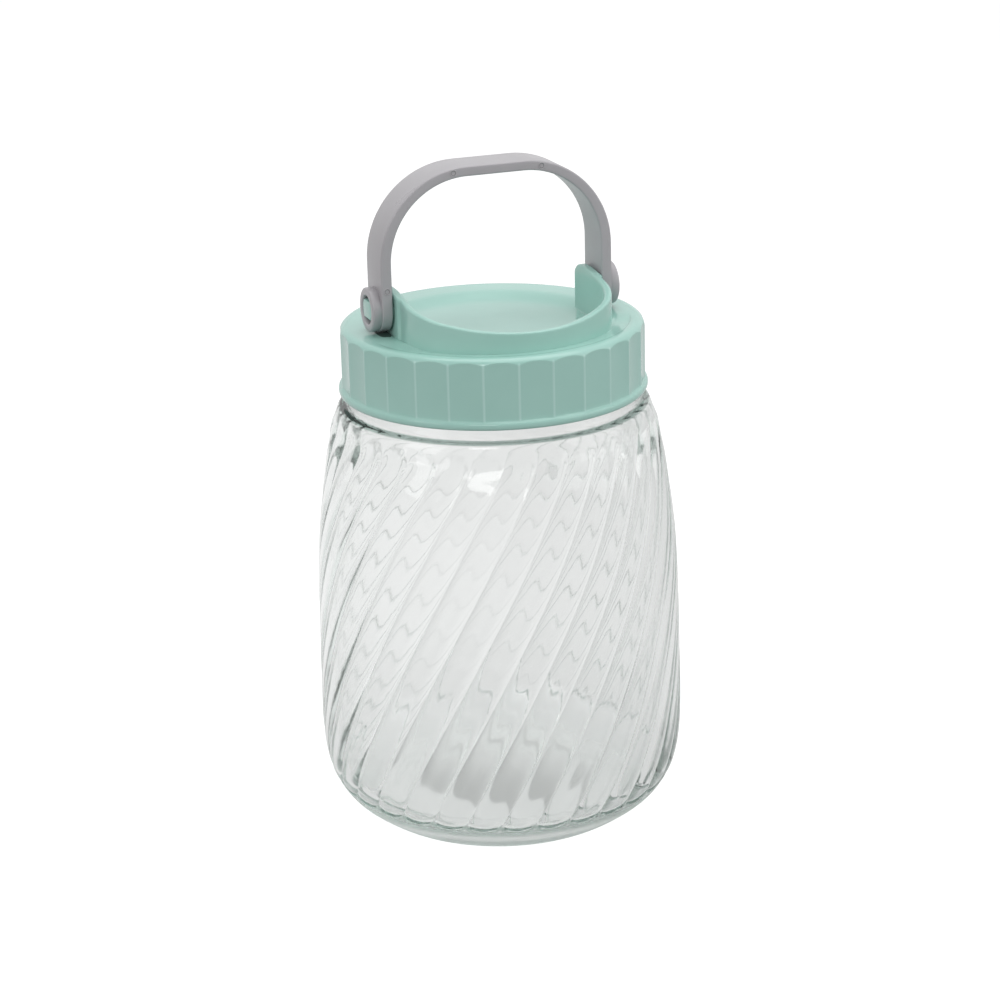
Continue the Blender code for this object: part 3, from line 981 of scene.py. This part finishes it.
def build_seal():
    """The soft ring between the lid and the lip of the jar."""
    profile = [
        (53.8, 213.0), (57.0, 213.05), (60.4, 213.0), (60.6, 212.8), (60.6, 211.4),
        (60.4, 211.2), (59.0, 211.15), (58.3, 211.3), (57.3, 211.35), (56.3, 211.3),
        (55.6, 211.15), (53.8, 211.2), (53.6, 211.4), (53.6, 212.8),
    ]
    verts, faces = skin([ring(circle(SEAL_SEGMENTS), r, z) for r, z in profile], loop=True)
    new_object("seal_ring", verts, faces, rubber, "seal", "lid_seal")


# Studio

def lit_and_glowing(tree, albedo, strength):
    """A surface that takes light and shadow at one albedo and glows by a strength besides."""
    diffuse = tree.nodes.new("ShaderNodeBsdfDiffuse")
    diffuse.inputs["Color"].default_value = (albedo, albedo, albedo, 1.0)
    glow = tree.nodes.new("ShaderNodeEmission")
    tree.links.new(strength, glow.inputs["Strength"])
    both = tree.nodes.new("ShaderNodeAddShader")
    tree.links.new(diffuse.outputs[0], both.inputs[0])
    tree.links.new(glow.outputs[0], both.inputs[1])
    return both.outputs[0]


def backdrop_strength(tree):
    """What glass shows of the floor: painted light, brighter far left and darker far right, and a
    painted contact shadow under the jar.
    """
    place = tree.nodes.new("ShaderNodeNewGeometry").outputs["Position"]
    across = vector_node(tree, "DOT_PRODUCT", place, FLOOR_ACROSS)
    shift = map_range(tree, across, -FLOOR_REACH, FLOOR_REACH, kind="LINEAR")
    side = grey_ramp(tree, shift, FLOOR_LEVELS)
    patch = tree.nodes.new("ShaderNodeMapping")
    patch.vector_type = "TEXTURE"
    patch.inputs["Location"].default_value = PATCH_PLACE
    patch.inputs["Rotation"].default_value = PATCH_TURN
    patch.inputs["Scale"].default_value = PATCH_SIZE
    tree.links.new(place, patch.inputs["Vector"])
    within = patch.outputs["Vector"]
    rim = map_range(tree, vector_node(tree, "LENGTH", within), 0.90, 1.02, 1.0, 0.0)
    depth = map_range(tree, separate(tree, within)["Y"], -0.7, 1.1, 1.0, 0.0)
    dim = math_node(tree, "MULTIPLY_ADD", product(tree, rim, depth), -PATCH_DIM, 1.0)
    # Painted shadow: the floor glows less near the jar
    near = map_range(tree, vector_node(tree, "LENGTH", place), 0.07, 0.25, 0.84, 1.05)
    return product(tree, product(tree, side, dim), near)


def build_floor():
    """A pale floor that is white to the camera and shows a softer backdrop in glass and gloss."""
    corners = [(-1, -1), (1, -1), (1, 1), (-1, 1)]
    mesh = bpy.data.meshes.new("floor")
    mesh.from_pydata([(x * FLOOR_HALF, y * FLOOR_HALF, FLOOR_Z) for x, y in corners], [],
                     [(0, 1, 2, 3)])
    floor = add_to_scene("floor", mesh)
    mat = bpy.data.materials.new("pale_floor")
    mat.use_nodes = True
    tree = mat.node_tree
    tree.nodes.remove(tree.nodes["Principled BSDF"])
    plain = lit_and_glowing(tree, 0.40, camera_ray(tree, FLOOR_WHITE))
    through = lit_and_glowing(tree, 0.16, backdrop_strength(tree))
    surface = mix_shader(tree, bent_ray(tree), plain, through)
    tree.links.new(surface, tree.nodes["Material Output"].inputs["Surface"])
    mesh.materials.append(mat)


def build_world():
    """White to the camera; glass and gloss show a room that is dim on the camera's side."""
    world = bpy.data.worlds.new("studio")
    bpy.context.scene.world = world
    world.use_nodes = True
    tree = world.node_tree
    view = tree.nodes.new("ShaderNodeTexCoord").outputs["Generated"]
    ahead = vector_node(tree, "DOT_PRODUCT", view, ROOM_AHEAD)
    room = grey_ramp(tree, math_node(tree, "ADD", ahead, 0.5), ROOM_LEVELS)
    shown = product(tree, bent_ray(tree), room)
    seen = math_node(tree, "MAXIMUM", camera_ray(tree, 1.0), shown)
    lit = tree.nodes["Background"]
    lit.inputs["Color"].default_value = (1.0, 1.0, 1.0, 1.0)
    tree.links.new(math_node(tree, "MAXIMUM", seen, ROOM_FILL), lit.inputs["Strength"])


def area_light(name, place, size, power):
    """A soft rectangular lamp aimed at the jar."""
    data = bpy.data.lights.new(name, "AREA")
    data.shape = "RECTANGLE"
    data.size, data.size_y = size
    data.energy = power
    lamp = add_to_scene(name, data)
    lamp.location = place
    aim = Vector(LAMP_AIM) - Vector(place)
    lamp.rotation_euler = aim.to_track_quat("-Z", "Y").to_euler()


def build_camera():
    """Camera at the photograph's viewing angle: a little left of the front, looking down."""
    data = bpy.data.cameras.new("camera")
    data.lens = CAMERA_LENS
    data.sensor_width = CAMERA_SENSOR
    data.shift_x = CAMERA_SHIFT
    camera = add_to_scene("camera", data)
    ahead = Vector((sin(CAMERA_SIDE) * cos(CAMERA_DOWN), cos(CAMERA_SIDE) * cos(CAMERA_DOWN),
                    -sin(CAMERA_DOWN)))
    right = Vector((cos(CAMERA_SIDE), -sin(CAMERA_SIDE), 0.0))
    up = right.cross(ahead)
    axis_x = right * cos(CAMERA_ROLL) - up * sin(CAMERA_ROLL)
    axis_y = right * sin(CAMERA_ROLL) + up * cos(CAMERA_ROLL)
    place = Vector(CAMERA_AIM) - CAMERA_DISTANCE * ahead
    turn = Matrix((axis_x, axis_y, -ahead)).transposed().to_4x4()
    camera.matrix_world = Matrix.Translation(place) @ turn
    bpy.context.scene.camera = camera


build_jar()
build_lid_shell()
build_wall()
for pin_side, pin_label in SIDES:
    build_pin(pin_side, pin_label)
for shadow_side, shadow_label in SIDES:
    build_leg_shadow(shadow_side, shadow_label)
build_handle()
build_marks()
build_seal()
build_floor()
build_world()
for lamp_name, lamp_place, lamp_size, lamp_power in LAMPS:
    area_light(lamp_name, lamp_place, lamp_size, lamp_power)
build_camera()
bpy.context.scene.view_settings.view_transform = "Standard"
bpy.context.scene.cycles.max_bounces = 32
bpy.context.scene.cycles.transmission_bounces = 32
bpy.context.scene.cycles.glossy_bounces = 12
